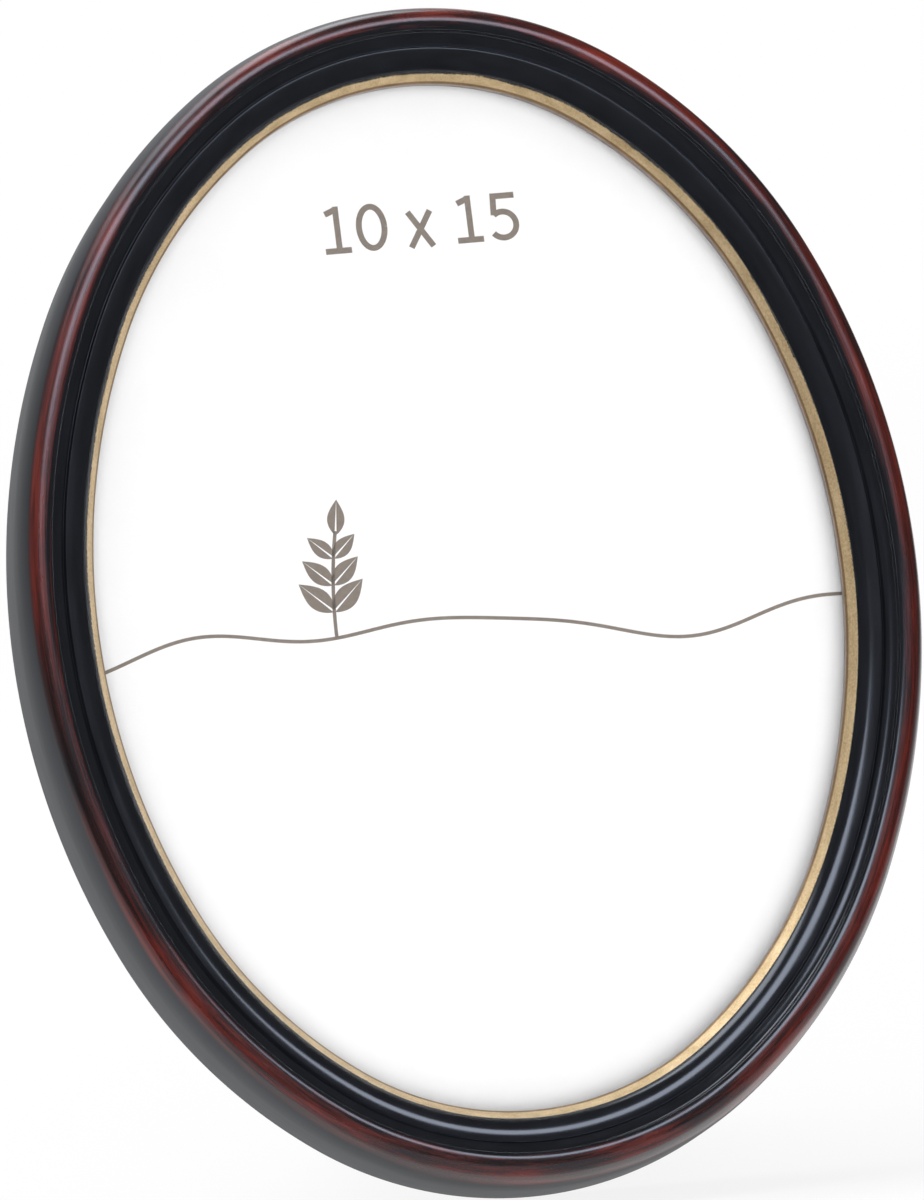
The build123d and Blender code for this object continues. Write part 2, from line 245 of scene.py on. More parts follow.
metal_lines = (4.0, 0.6)       # detail and roughness
metal_line_scales = (300.0, 3000.0, 3000.0)
metal_stains = (260.0, 4.0, 0.6)
metal_stain_share = 0.6
metal_roughness_down = 0.08
metal_roughness_up = 0.12
metal_bump = 0.004
steels = {                     # tones and roughness
    "hinge_steel": (((0.3, (120, 116, 108)), (0.7, (168, 163, 152))), 0.36),
    "button_steel": (((0.3, (128, 128, 130)), (0.7, (176, 176, 178))), 0.3),
    "plated_steel": (((0.3, (150, 150, 150)), (0.7, (200, 199, 196))), 0.24),
    "brassed_steel": (((0.3, (150, 116, 62)), (0.7, (196, 160, 96))), 0.28),
}

# Photograph: its width and the focal length in pixels, and the camera's place, worked out from the
# sight oval in it
photo_width = 924
photo_focal = 10777.36
camera_distance = 1500.0
camera_azimuth = 11.673        # to the left of the frame's normal, in degrees
camera_elevation = -9.624      # below the frame's normal
camera_roll = -7.189
aim_x = 0.3299
aim_z = 0.6783
aim_height = 1.1

# Studio, in metres and watts
stage_half_width = 1.0
stage_front = 0.06
stage_back = 1.6
stage_bend = 0.8
stage_bend_steps = 16
stage_top = 3.0
stage_grey = 0.8
stage_roughness = 0.9
floor_glow_share = 0.86
backdrop_glow_start = 0.25     # distances behind the object between which the floor turns plain white
backdrop_glow_full = 1.2
side_glow_start = 0.3          # and to either side
side_glow_full = 0.9
front_glow_start = 0.035       # and in front
front_glow_full = 0.058
world_light = 0.34
world_front_light = 3.0
world_front_low = 0.76         # where the light from the camera's side begins and is full
world_front_high = 0.95
world_gloss = 0.12
world_turn_low = 0.75          # where the white behind the object begins and is full, as a direction's y
world_turn_high = 0.95
lamps = (
    ("key_box", (0.02, -0.66, 0.76), 1.05, 0.3, 8.2, (0.9, 0.92, 1.0), False),
    ("top_lamp", (-0.25, 0.3, 0.95), 1.1, 0.5, 11.0, (0.97, 0.98, 1.0), True),
)

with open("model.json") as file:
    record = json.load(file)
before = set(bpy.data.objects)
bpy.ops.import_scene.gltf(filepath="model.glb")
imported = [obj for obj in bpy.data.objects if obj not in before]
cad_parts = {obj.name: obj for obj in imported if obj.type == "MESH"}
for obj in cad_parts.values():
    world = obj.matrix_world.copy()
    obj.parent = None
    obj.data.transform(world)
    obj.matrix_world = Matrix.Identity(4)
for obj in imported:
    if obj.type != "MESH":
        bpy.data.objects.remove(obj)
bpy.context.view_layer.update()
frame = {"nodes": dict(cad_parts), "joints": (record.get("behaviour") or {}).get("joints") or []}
joints = {joint["name"]: joint for joint in frame["joints"]}

# From the frame's own axes to the row frame
back_axis = Vector(joints["button_upper_right_turn"]["axis"]).normalized()
right_axis = Vector((1, 0, 0))
up_axis = right_axis.cross(back_axis)
glass_low, glass_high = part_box("glass")
centre = (glass_low + glass_high) / 2 + back_axis * glass_middle_height * MM


def on_frame(x, z, height):
    """A point of the frame's own axes, in the row frame and in metres."""
    return centre + (right_axis * x + up_axis * z - back_axis * height) * MM


def oval_arcs():
    """The sight oval's arcs from its right-hand point: middle, radius, start angle and end angle."""
    half_x, half_z = sight_width / 2, sight_height / 2
    side, shoulder = radians(side_turn), radians(shoulder_turn)
    shoulder_radius = shoulder_radius_share * sqrt(half_x * half_z)
    across = half_x - shoulder_radius * (cos(side) - cos(shoulder))
    up = half_z - shoulder_radius * (sin(shoulder) - sin(side))
    scale = (1 - cos(side)) * (1 - sin(shoulder)) - cos(shoulder) * sin(side)
    side_radius = (across * (1 - sin(shoulder)) - up * cos(shoulder)) / scale
    end_radius = (up * (1 - cos(side)) - across * sin(side)) / scale
    side_x = half_x - side_radius
    shoulder_x = side_x + (side_radius - shoulder_radius) * cos(side)
    shoulder_z = (side_radius - shoulder_radius) * sin(side)
    arcs = [((side_x, 0), side_radius, 0, side_turn),
            ((shoulder_x, shoulder_z), shoulder_radius, side_turn, shoulder_turn),
            ((0, half_z - end_radius), end_radius, shoulder_turn, 90)]
    arcs += [((-x, z), radius, 180 - end, 180 - start) for (x, z), radius, start, end in reversed(arcs)]
    return arcs + [((-x, -z), radius, 180 + start, 180 + end) for (x, z), radius, start, end in arcs]


def oval_point(angle, offset):
    """The point outside the sight oval by the offset, where the oval's normal has the angle."""
    for (middle_x, middle_z), radius, start, end in oval_arcs():
        if start <= angle <= end:
            turn = radians(angle)
            reach = radius + offset
            return middle_x + reach * cos(turn), middle_z + reach * sin(turn)


# Meshes

def linked(name, data):
    """An object of some data, in the scene."""
    made = bpy.data.objects.new(name, data)
    bpy.context.scene.collection.objects.link(made)
    return made


def new_mesh(name, vertices, faces):
    """A mesh of vertices and faces."""
    mesh = bpy.data.meshes.new(name)
    mesh.from_pydata(vertices, [], faces)
    return mesh


def new_object(name, vertices, faces, body, material):
    """A smooth-shaded mesh object that rides on a body, with one material."""
    mesh = new_mesh(name, vertices, faces)
    mesh.validate()
    mesh.shade_smooth()
    mesh.materials.append(material)
    made = linked(name, mesh)
    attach(made, body)
    return made


def rounded(corners):
    """The points of a line through corners (across, up, radius), each corner rounded by its radius."""
    points = []
    for index, (x, y, radius) in enumerate(corners):
        corner = Vector((x, y))
        before = Vector(corners[index - 1][:2]) - corner
        after = Vector(corners[(index + 1) % len(corners)][:2]) - corner
        if radius == 0 or index in (0, len(corners) - 1):
            points.append((x, y))
            continue
        half_angle = before.angle(after) / 2
        reach = min(radius / tan(half_angle), before.length / 2, after.length / 2)
        start = corner + before.normalized() * reach
        end = corner + after.normalized() * reach
        for step in range(round_steps + 1):
            share = step / round_steps
            near = start.lerp(corner, share)
            far = corner.lerp(end, share)
            points.append(tuple(near.lerp(far, share)))
    return points


def arc_points(start, end, crown, steps):
    """Points of the arc from start to end that stands proud of their chord by the crown."""
    start, end = Vector(start), Vector(end)
    chord = end - start
    radius = (chord.length ** 2 / 4 + crown ** 2) / (2 * crown)
    outward = Vector((-chord.y, chord.x)).normalized()
    middle = (start + end) / 2 + outward * (crown - radius)
    half_turn = asin(chord.length / 2 / radius)
    points = []
    for step in range(steps + 1):
        turn = half_turn * (1 - 2 * step / steps)
        direction = outward * cos(turn) - chord.normalized() * sin(turn)
        points.append(tuple(middle + direction * radius))
    return points


def shoulder_turn_and_side_radius():
    """The bead's outer side is two arcs: how far the first turns, in degrees, and the second's radius."""
    width, fall = bead_outer_width - bead_shoulder_radius, bead_outer_fall - bead_shoulder_radius
    turn = 2 * atan2(fall, width) - pi / 2
    return degrees(turn), bead_shoulder_radius + width / (1 - sin(turn))


def outer_side(crest, turn):
    """The point of the bead's outer side whose face is turned by so many degrees from the crest's."""
    shoulder, side_radius = shoulder_turn_and_side_radius()
    first, second = radians(min(turn, shoulder)), radians(max(turn, shoulder))
    joint = radians(shoulder)
    across = bead_shoulder_radius * sin(first) + side_radius * (sin(second) - sin(joint))
    down = bead_shoulder_radius * (1 - cos(first)) + side_radius * (cos(joint) - cos(second))
    return crest[0] + across, crest[1] - down


def moulding_rows():
    """The moulding's section as (offset, height) points, from the rabbet's shelf over the front and
    the side wall to the back, the index of the sight edge, and the middle of the bead's arc."""
    sight = shelf_height + lip_thickness
    gold_top = sight + gold_rise
    ridge_foot = (gold_width, gold_top + gold_step)
    ridge_end = (gold_width + ridge_width, ridge_foot[1] + ridge_rise)
    groove = (ridge_end[0] + groove_width / 2, ridge_end[1] - groove_depth)
    low_start = (ridge_end[0] + groove_width, ridge_end[1])
    low_end = (low_start[0] + low_ridge_width, low_start[1] + low_ridge_rise)
    flank = low_end[0] + cove_size
    start_angle = radians(bead_start_angle)
    bead_offset = flank - bead_radius * cos(start_angle)
    bead_height = sight + bead_lift
    ridge = arc_points(ridge_foot, ridge_end, ridge_crown, ridge_steps)
    low_ridge = arc_points(low_start, low_end, low_ridge_crown, ridge_steps // 2)
    front = rounded([(0, shelf_height, 0), (0, sight, sight_round), (gold_width, gold_top, crisp_round),
                     (*ridge_foot, crisp_round), (*ridge[1], 0)])
    valley = rounded([(*ridge[-2], 0), (*ridge_end, crisp_round / 2), (*groove, crisp_round),
                      (*low_start, crisp_round), (*low_ridge[1], 0)])
    ridge = ridge[2:-2]
    low_ridge = low_ridge[2:]
    flank_line = rounded([(*low_end, 0), (flank, low_end[1] + cove_size / 2, cove_size),
                          (flank, bead_height + bead_radius * sin(start_angle), 0)])
    bead = []
    for step in range(bead_inner_steps):
        angle = start_angle + (pi / 2 - start_angle) * step / bead_inner_steps
        bead.append((bead_offset + bead_radius * cos(angle), bead_height + bead_radius * sin(angle)))
    crest = (bead_offset, bead_height + bead_radius)
    shoulder, _ = shoulder_turn_and_side_radius()
    for step in range(bead_shoulder_steps):
        bead.append(outer_side(crest, shoulder * step / bead_shoulder_steps))
    for step in range(bead_side_steps + 1):
        bead.append(outer_side(crest, shoulder + (90 - shoulder) * step / bead_side_steps))
    outer = bead_offset + bead_outer_width
    back = rounded([(*bead[-1], 0), (outer, back_chamfer, back_chamfer),
                    (outer - back_chamfer, 0, back_chamfer),
                    (rabbet_width, 0, arris_round), (rabbet_width, shelf_height, 0)])
    rows = []
    for part in (front, ridge, valley, low_ridge, flank_line, bead, back):
        for point in part:
            if not rows or (Vector(point) - Vector(rows[-1])).length > same_point:
                rows.append(tuple(point))
    sight_row = min(range(len(rows)), key=lambda row: (Vector(rows[row]) - Vector((0, sight))).length)
    return rows, sight_row, (bead_offset, bead_height)


def section_lengths(rows, sight_row):
    """How far along the section from the sight edge each of its rows lies."""
    lengths = [0.0]
    for first, second in zip(rows, rows[1:]):
        lengths.append(lengths[-1] + (Vector(second) - Vector(first)).length)
    return [length - lengths[sight_row] for length in lengths]


def closed_grid(columns, rows):
    """The faces of a grid of vertices that closes on itself both ways."""
    faces = []
    for column in range(columns):
        here, there = column * rows, (column + 1) % columns * rows
        for row in range(rows):
            following = (row + 1) % rows
            faces.append((here + row, here + following, there + following, there + row))
    return faces


def moulding_object(material):
    """The moulding, swept round the oval, with where each vertex lies round it and on the section."""
    rows, sight_row, _ = moulding_rows()
    across = section_lengths(rows, sight_row)
    columns = range(0, 360, oval_step)
    vertices = []
    grain = []
    for angle in columns:
        turn = radians(angle)
        for (offset, height), along in zip(rows, across):
            x, z = oval_point(angle, offset)
            vertices.append(on_frame(x, z, height))
            grain.append((grain_reach * cos(turn), grain_reach * sin(turn), along))
    faces = closed_grid(len(columns), len(rows))
    made = new_object("moulding_finished", vertices, faces, "frame", material)
    attribute = made.data.attributes.new("grain", "FLOAT_VECTOR", "POINT")
    attribute.data.foreach_set("vector", [number for place in grain for number in place])
    return made


def paper_object(material):
    """The oval insert."""
    outline = [oval_point(angle, rabbet_width - rabbet_play) for angle in range(0, 360, oval_step)]
    count = len(outline)
    heights = (paper_front_height - paper_thickness, paper_front_height)
    vertices = [on_frame(x, z, height) for height in heights for x, z in outline]
    faces = [tuple(range(count)), tuple(reversed(range(count, 2 * count)))]
    for index in range(count):
        following = (index + 1) % count
        faces.append((index, count + index, count + following, following))
    made = new_object("insert_sheet", vertices, faces, "frame", material)
    made.data.shade_flat()
    return made


def joined(name, pieces, body, material):
    """One object of several (vertices, faces) pieces."""
    vertices = []
    faces = []
    for piece_vertices, piece_faces in pieces:
        start = len(vertices)
        vertices += piece_vertices
        faces += [tuple(start + index for index in face) for face in piece_faces]
    return new_object(name, vertices, faces, body, material)


def turned_piece(profile, base, axis):
    """A closed turned form: profile points (radius, height) from the axis out and back to the axis."""
    axis = axis.normalized()
    side = axis.orthogonal().normalized()
    other = axis.cross(side)
    vertices = []
    rings = []
    for radius, height in profile:
        if radius == 0:
            rings.append([len(vertices)])
            vertices.append(base + axis * height * MM)
            continue
        rings.append(list(range(len(vertices), len(vertices) + round_sides)))
        for step in range(round_sides):
            turn = 2 * pi * step / round_sides
            direction = side * cos(turn) + other * sin(turn)
            vertices.append(base + (axis * height + direction * radius) * MM)
    faces = []
    for first, second in zip(rings, rings[1:]):
        for step in range(round_sides):
            following = (step + 1) % round_sides
            if len(first) == 1:
                faces.append((first[0], second[following], second[step]))
            elif len(second) == 1:
                faces.append((first[step], first[following], second[0]))
            else:
                faces.append((first[step], first[following], second[following], second[step]))
    return vertices, faces


def tube(points, radius, sides, normal):
    """A closed tube round a closed flat line of points, in the row frame. Normal is square to it."""
    vertices = []
    for index, point in enumerate(points):
        ahead = (points[(index + 1) % len(points)] - points[index - 1]).normalized()
        side = ahead.cross(normal).normalized()
        for step in range(sides):
            turn = 2 * pi * step / sides
            vertices.append(point + (side * cos(turn) + normal * sin(turn)) * radius * MM)
    return vertices, closed_grid(len(points), sides)


def dressed(node, body, material, bevel):
    """A copy of a CAD node's mesh with eased edges, which stands for the node."""
    mesh = frame["nodes"][node].data.copy()
    mesh.name = node + "_finished"
    mesh.materials.clear()
    mesh.materials.append(material)
    shape = bmesh.new()
    shape.from_mesh(mesh)
    bmesh.ops.remove_doubles(shape, verts=shape.verts, dist=same_point)
    bmesh.ops.dissolve_limit(shape, angle_limit=radians(1), verts=shape.verts, edges=shape.edges)
    shape.to_mesh(mesh)
    shape.free()
    made = linked(node + "_finished", mesh)
    ease = made.modifiers.new("eased edges", "BEVEL")
    ease.width = bevel * MM
    ease.segments = 2
    ease.limit_method = "ANGLE"
    ease.angle_limit = radians(ease_angle)
    ease.harden_normals = True
    mesh.shade_smooth()
    mesh.set_sharp_from_angle(angle=radians(sharp_angle))
    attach(made, body)
    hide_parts(node)
    return made


# Materials

def paint(red, green, blue):
    """A colour as a screen shows it, 0 to 255, made linear for a shader."""
    linear = [((level / 255 + 0.055) / 1.055) ** 2.4 for level in (red, green, blue)]
    return (*linear, 1.0)


def new_material(name):
    """A node material, its tree and its Principled shader."""
    material = bpy.data.materials.new(name)
    material.use_nodes = True
    return material, material.node_tree, material.node_tree.nodes["Principled BSDF"]


def connect(tree, node, inputs):
    """Joins each input that is named to a socket, or gives it a value."""
    for key, value in inputs.items():
        if isinstance(value, bpy.types.NodeSocket):
            tree.links.new(value, node.inputs[key])
        else:
            node.inputs[key].default_value = value


def add(tree, kind, inputs=None, **settings):
    """A new node with its settings and inputs."""
    made = tree.nodes.new(kind)
    for key, value in settings.items():
        setattr(made, key, value)
    connect(tree, made, inputs or {})
    return made


def maths(tree, operation, *values):
    """The result of a Math node."""
    return add(tree, "ShaderNodeMath", dict(enumerate(values)), operation=operation).outputs[0]


def noise(tree, vector, scale, detail=3.0, roughness=0.5):
    """The value of a noise, from 0 to 1."""
    return add(tree, "ShaderNodeTexNoise", {"Vector": vector, "Scale": scale, "Detail": detail,
                                            "Roughness": roughness}).outputs[0]


def all_over(tree, scale, detail, roughness):
    """The value of a noise over the object's own places, from 0 to 1."""
    return noise(tree, add(tree, "ShaderNodeTexCoord").outputs["Object"], scale, detail, roughness)


def along_grain(tree, grain, along, across, detail, roughness):
    """The value of a noise stretched along the moulding, from 0 to 1."""
    place = add(tree, "ShaderNodeVectorMath", {0: grain, 1: (along, along, across)}, operation="MULTIPLY")
    return noise(tree, place.outputs["Vector"], 1.0, detail, roughness)


def swing(tree, value, reach):
    """A noise's value made to swing about 0, over a reach."""
    return maths(tree, "MULTIPLY", maths(tree, "SUBTRACT", value, 0.5), reach)


def ramp(tree, value, tones):
    """A colour ramp over (place, colour) tones."""
    made = add(tree, "ShaderNodeValToRGB", {"Fac": value})
    elements = made.color_ramp.elements
    while len(elements) < len(tones):
        elements.new(0.5)
    for element, (place, colour) in zip(elements, tones):
        element.position = place
        element.color = paint(*colour)
    return made.outputs["Color"]


def mixed(tree, share, first, second):
    """Two colours mixed by a share."""
    return add(tree, "ShaderNodeMix", {0: share, 6: first, 7: second}, data_type="RGBA").outputs[2]


def blended(tree, share, first, second):
    """Two numbers mixed by a share."""
    return add(tree, "ShaderNodeMix", {0: share, 2: first, 3: second}, data_type="FLOAT").outputs[0]


def step_up(tree, value, low, high):
    """0 below low, 1 above high, and smooth between them."""
    return add(tree, "ShaderNodeMapRange", {"Value": value, "From Min": low, "From Max": high},
               interpolation_type="SMOOTHSTEP").outputs["Result"]


def bumpy(tree, height, depth):
    """The normals of a bump of a depth in millimetres."""
    bump = add(tree, "ShaderNodeBump", {"Height": height, "Distance": depth * MM, "Strength": 1.0})
    return bump.outputs["Normal"]


def moulding_material():
    """Lacquer, gilding and mahogany on one moulding, each where it lies on the section."""
    material, tree, shader = new_material("moulding_finish")
    grain = add(tree, "ShaderNodeAttribute", attribute_name="grain").outputs["Vector"]
    right, up, across = add(tree, "ShaderNodeSeparateXYZ", {0: grain}).outputs
    rows, sight_row, bead_middle = moulding_rows()
    lengths = section_lengths(rows, sight_row)

    def along_section(offset, height):
        """How far along the section from the sight edge its row nearest to a point lies."""
        return lengths[min(range(sight_row, len(rows)),
                           key=lambda row: (Vector(rows[row]) - Vector((offset, height))).length)]

    gold_end = along_section(gold_width, shelf_height + lip_thickness + gold_rise) - gold_margin
    inner_turn = radians(wood_inner_angle)
    wood_start = along_section(bead_middle[0] + bead_radius * cos(inner_turn),
                               bead_middle[1] + bead_radius * sin(inner_turn))
    wood_end = along_section(*outer_side((bead_middle[0], bead_middle[1] + bead_radius), wood_outer_turn))

    # Mahogany: red-brown, with dark streaks and patches along the bead that close in at its edges
    streaks = along_grain(tree, grain, *wood_streaks)
    fibres = along_grain(tree, grain, *wood_fibres)
    patches = swing(tree, along_grain(tree, grain, *wood_patches), wood_patch_depth)
    depth = maths(tree, "ADD", blended(tree, wood_fibre_share, streaks, fibres), patches)
    wood = ramp(tree, depth, wood_tones)
    place = maths(tree, "ADD", across, swing(tree, streaks, wood_wander))
    drift = maths(tree, "SUBTRACT", maths(tree, "MULTIPLY", up, wood_bottom_drift / grain_reach),
                  maths(tree, "MULTIPLY", right, wood_right_drift / grain_reach))
    drifted = maths(tree, "ADD", place, drift)
    inner = step_up(tree, place, *[wood_start + fade for fade in wood_inner_fade])
    outer = step_up(tree, drifted, *[wood_end + fade for fade in wood_outer_fade])
    wood_share = maths(tree, "MULTIPLY", inner, outer)
    wall_share = step_up(tree, drifted, wood_end - wall_fade, wood_end)

    # Black lacquer, a little blue
    cloud = along_grain(tree, grain, *lacquer_clouds)
    lacquer = ramp(tree, cloud, lacquer_tones)

    # Gilding on the sight edge's bevel: fine grained, narrower at the upper left, with a ragged
    # outer border, and with painted shade on the inner lip, where its tone is darker and duller
    speckle = along_grain(tree, grain, *gold_speckle)
    ragged = maths(tree, "ADD", across, swing(tree, speckle, gold_ragged))
    ragged = maths(tree, "ADD", ragged, swing(tree, along_grain(tree, grain, *gold_wave), gold_wander))
    up_left = maths(tree, "MULTIPLY", maths(tree, "SUBTRACT", up, right), gold_drift / grain_reach)
    ragged = maths(tree, "ADD", ragged, up_left)
    gold_share = step_up(tree, ragged, gold_end + gold_fade, gold_end - gold_fade)
    gilt = along_grain(tree, grain, *gold_leaf)
    shine = blended(tree, gold_sweep_share, gilt, along_grain(tree, grain, *gold_sweep))
    # the inner lip gets painted shade: darker tones near the sight edge
    gold = mixed(tree, step_up(tree, across, *lip_shade_fade), ramp(tree, shine, gold_tones),
                 ramp(tree, shine, lip_shade_tones))

    rough = blended(tree, wall_share, blended(tree, wood_share, lacquer_roughness, wood_roughness),
                    wall_roughness)
    rough = maths(tree, "ADD", rough, swing(tree, cloud, cloud_roughness))
    gilt_grain = maths(tree, "MULTIPLY", maths(tree, "ADD", gilt, speckle), gold_share)
    wood_grain = maths(tree, "MULTIPLY", maths(tree, "MULTIPLY", fibres, wood_share), wood_bump_share)
    connect(tree, shader, {
        "Base Color": mixed(tree, gold_share, mixed(tree, wood_share, lacquer, wood), gold),
        "Metallic": maths(tree, "MULTIPLY", gold_share, gold_metallic),
        "Roughness": blended(tree, gold_share, rough, gold_roughness),
        "IOR": 1.5, "Specular IOR Level": 0.5, "Specular Tint": lacquer_tint,
        "Normal": bumpy(tree, maths(tree, "ADD", gilt_grain, wood_grain), moulding_bump)})
    return material


def paper_material():
    """White paper with a faint tooth."""
    material, tree, shader = new_material("insert_paper")
    tooth = all_over(tree, *paper_tooth)
    tone = blended(tree, 0.5, tooth, all_over(tree, *paper_clouds))
    connect(tree, shader, {"Base Color": ramp(tree, tone, paper_tones), "Roughness": paper_roughness,
                           "Specular IOR Level": paper_gloss, "Normal": bumpy(tree, tooth, paper_bump)})
    return material


def ink_material():
    """Taupe printing ink, slightly uneven."""
    material, tree, shader = new_material("printed_ink")
    colour = ramp(tree, all_over(tree, *ink_mottle), ink_tones)
    connect(tree, shader, {"Base Color": colour, "Roughness": ink_roughness})
    return material


def glass_material():
    """Clear picture glass: it lets light through, with a faint film, and its gloss by its angle is partly
    painted reflection: a white cover that thickens where the glass is seen at a glancing angle.
    """
    material, tree, shader = new_material("picture_glass")
    film = maths(tree, "MULTIPLY", all_over(tree, *glass_film), glass_film_cover)
    # painted reflection: white that covers more of the glass the more glancingly it is seen, added to the
    # faint film
    edge = add(tree, "ShaderNodeLayerWeight", {"Blend": glass_sheen_blend}).outputs["Fresnel"]
    film_and_sheen = maths(tree, "ADD", maths(tree, "MULTIPLY", edge, glass_sheen_cover), film)
    connect(tree, shader, {"Base Color": (1.0, 1.0, 1.0, 1.0), "Roughness": glass_roughness, "Alpha": film_and_sheen})
    return material


def board_material(name, tones, bump):
    """Pressed fibre board: short fibres, flecks and a slight unevenness."""
    material, tree, shader = new_material(name)
    place = add(tree, "ShaderNodeTexCoord").outputs["Object"]
    flecks = add(tree, "ShaderNodeTexVoronoi", {"Vector": place, "Scale": board_flecks}).outputs["Distance"]
    fibres = all_over(tree, *board_fibres)
    tone = blended(tree, board_cloud_share, fibres, all_over(tree, *board_clouds))
    fleck = paint(*[level * fleck_tone for level in tones[0][1]])
    colour = mixed(tree, step_up(tree, flecks, *fleck_fade), ramp(tree, tone, tones), fleck)
    connect(tree, shader, {"Base Color": colour, "Roughness": blended(tree, fibres, *board_roughnesses),
                           "Specular IOR Level": board_gloss, "Normal": bumpy(tree, fibres, bump)})
    return material


def metal_material(name, tones, roughness):
    """Plated or coated metal with a fine rolled grain and small wear marks."""
    material, tree, shader = new_material(name)
    place = add(tree, "ShaderNodeTexCoord").outputs["Object"]
    rolled = add(tree, "ShaderNodeVectorMath", {0: place, 1: metal_line_scales}, operation="MULTIPLY")
    lines = noise(tree, rolled.outputs["Vector"], 1.0, *metal_lines)
    stain = all_over(tree, *metal_stains)
    rough = blended(tree, stain, roughness - metal_roughness_down, roughness + metal_roughness_up)
    colour = ramp(tree, blended(tree, metal_stain_share, lines, stain), tones)
    connect(tree, shader, {"Base Color": colour, "Metallic": 1.0, "Roughness": rough,
                           "Normal": bumpy(tree, lines, metal_bump)})
    return material


# Hardware on the back, as (vertices, faces) pieces in the row frame

def cut(piece, cutter):
    """A piece less a cutter, both as (vertices, faces)."""
    body, tool = [linked("cut", new_mesh("cut", *shape)) for shape in (piece, cutter)]
    difference = body.modifiers.new("difference", "BOOLEAN")
    difference.operation = "DIFFERENCE"
    difference.solver = "EXACT"
    difference.object = tool
    result = bpy.data.meshes.new_from_object(body.evaluated_get(bpy.context.evaluated_depsgraph_get()))
    vertices = [vertex.co.copy() for vertex in result.vertices]
    faces = [tuple(face.vertices) for face in result.polygons]
    bpy.data.objects.remove(body)
    bpy.data.objects.remove(tool)
    bpy.data.meshes.remove(result)
    return vertices, faces


def dome(radius, height, rim):
    """Profile points (radius, height) of a domed head, from its top down to its seat."""
    points = []
    for step in range(dome_steps + 1):
        turn = pi / 2 * step / dome_steps
        points.append((radius * sin(turn), rim + (height - rim) * cos(turn)))
    return points + [(radius, 0)]


def cross_cutter():
    """A cross-shaped cutter for the screws' recess, which tapers as it goes down."""
    outline = []
    half_length, half_width = recess_length / 2, recess_width / 2
    for quarter in range(4):
        turn = pi / 2 * quarter
        for x, y in ((half_length, -half_width), (half_length, half_width), (half_width, half_width)):
            outline.append((x * cos(turn) - y * sin(turn), x * sin(turn) + y * cos(turn)))
    count = len(outline)
    vertices = []
    for share, height in ((recess_taper_share, -recess_depth), (1, recess_depth)):
        vertices += [Vector((x * share, y * share, screw_head_height + height)) * MM for x, y in outline]
    faces = [tuple(reversed(range(count))), tuple(range(count, 2 * count))]
    for index in range(count):
        following = (index + 1) % count
        faces.append((index, following, count + following, count + index))
    return vertices, faces


def turned_hardware(node, pieces, body, material):
    """Turned (vertices, faces) pieces that stand for a node, with sharp edges where they turn sharply."""
    made = joined(node + "_finished", pieces, body, material)
    made.data.set_sharp_from_angle(angle=radians(ease_angle))
    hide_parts(node)
    return made


def headed(head, shank_radius, shank):
    """The profile of a head's dome and the round shank under it."""
    return [(0, head[0][1])] + head[1:] + [(shank_radius, 0), (shank_radius, -shank), (0, -shank)]


def screws_object(material):
    """The four pan-head screws with a cross recess, one on each turn button's axis."""
    head = dome(screw_head_radius, screw_head_height, screw_rim)
    blank = turned_piece(headed(head, screw_radius, screw_length), Vector((0, 0, 0)), Vector((0, 0, 1)))
    vertices, faces = cut(blank, cross_cutter())
    stand = back_axis.to_track_quat("Z", "Y").to_matrix().to_4x4()
    pieces = []
    for name, angle in zip(button_names, screw_turns):
        spot = Vector(joints[name + "_turn"]["pos_m"])
        base = spot + back_axis * (height_of(spot) + screw_seat) * MM
        place = Matrix.Translation(base) @ stand @ Matrix.Rotation(radians(angle), 4, "Z")
        pieces.append(([place @ vertex for vertex in vertices], faces))
    return turned_hardware("turn_button_screws", pieces, "frame", material)


def rivets_object(node, places, axis, body, head_height, material):
    """Domed rivets, each with its head's seat at a place and its shank going into the board."""
    profile = headed(dome(rivet_head_radius, head_height, rivet_rim), rivet_radius, rivet_shank)
    pieces = [turned_piece(profile, place, axis) for place in places]
    return turned_hardware(node, pieces, body, material)


def pin_object(material):
    """The hinge pin, with a peened head at each end."""
    half = hinge_width / 2 + pin_head_gap
    cap = dome(pin_head_radius, pin_head_thickness, pin_rim)
    right = [(0, half + pin_head_thickness)] + [(radius, half + height) for radius, height in cap[1:]]
    left = [(radius, -height) for radius, height in reversed(right)]
    profile = right + [(pin_radius, half), (pin_radius, -half)] + left
    return turned_hardware("hinge_pin", [turned_piece(profile, hinge_place, right_axis)], "frame", material)


def ring_object(material):
    """The closed wire ring, hanging plumb from its bar."""
    side = ring_width / 2
    corners = [(-side, 0, ring_top_round), (side, 0, ring_top_round),
               (side, -ring_length, ring_bow_round), (-side, -ring_length, ring_bow_round)]
    line = []
    for index, (x, z, radius) in enumerate(corners):
        corner = Vector((x, z))
        before = (Vector(corners[index - 1][:2]) - corner).normalized()
        after = (Vector(corners[(index + 1) % 4][:2]) - corner).normalized()
        middle = corner + (before + after) * radius
        for step in range(ring_corner_steps + 1):
            turn = pi / 2 * step / ring_corner_steps
            line.append(middle - after * radius * cos(turn) - before * radius * sin(turn))
    bar = Vector(joints["ring_swing"]["pos_m"])
    points = [bar + Vector((place.x, 0, place.y)) * MM for place in line]
    piece = tube(points, ring_wire_radius, ring_sides, Vector((0, 1, 0)))
    made = joined("hanger_ring_finished", [piece], "hanging_ring", material)
    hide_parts("hanger_ring")
    return made


# What is printed on the insert

def ink_strip(points, width, layer=0):
    """A flat strip of ink along points (x, z) on the paper, as (vertices, faces)."""
    vertices = []
    count = len(points)
    for index, (x, z) in enumerate(points):
        before = points[max(index - 1, 0)]
        after = points[min(index + 1, count - 1)]
        run = Vector((after[0] - before[0], after[1] - before[1])).normalized()
        for side in (-1, 1):
            vertices.append(on_frame(x - run.y * side * width / 2, z + run.x * side * width / 2,
                                     paper_front_height + ink_lift + ink_layer * layer))
    faces = [(2 * index, 2 * index + 2, 2 * index + 3, 2 * index + 1) for index in range(count - 1)]
    return vertices, faces


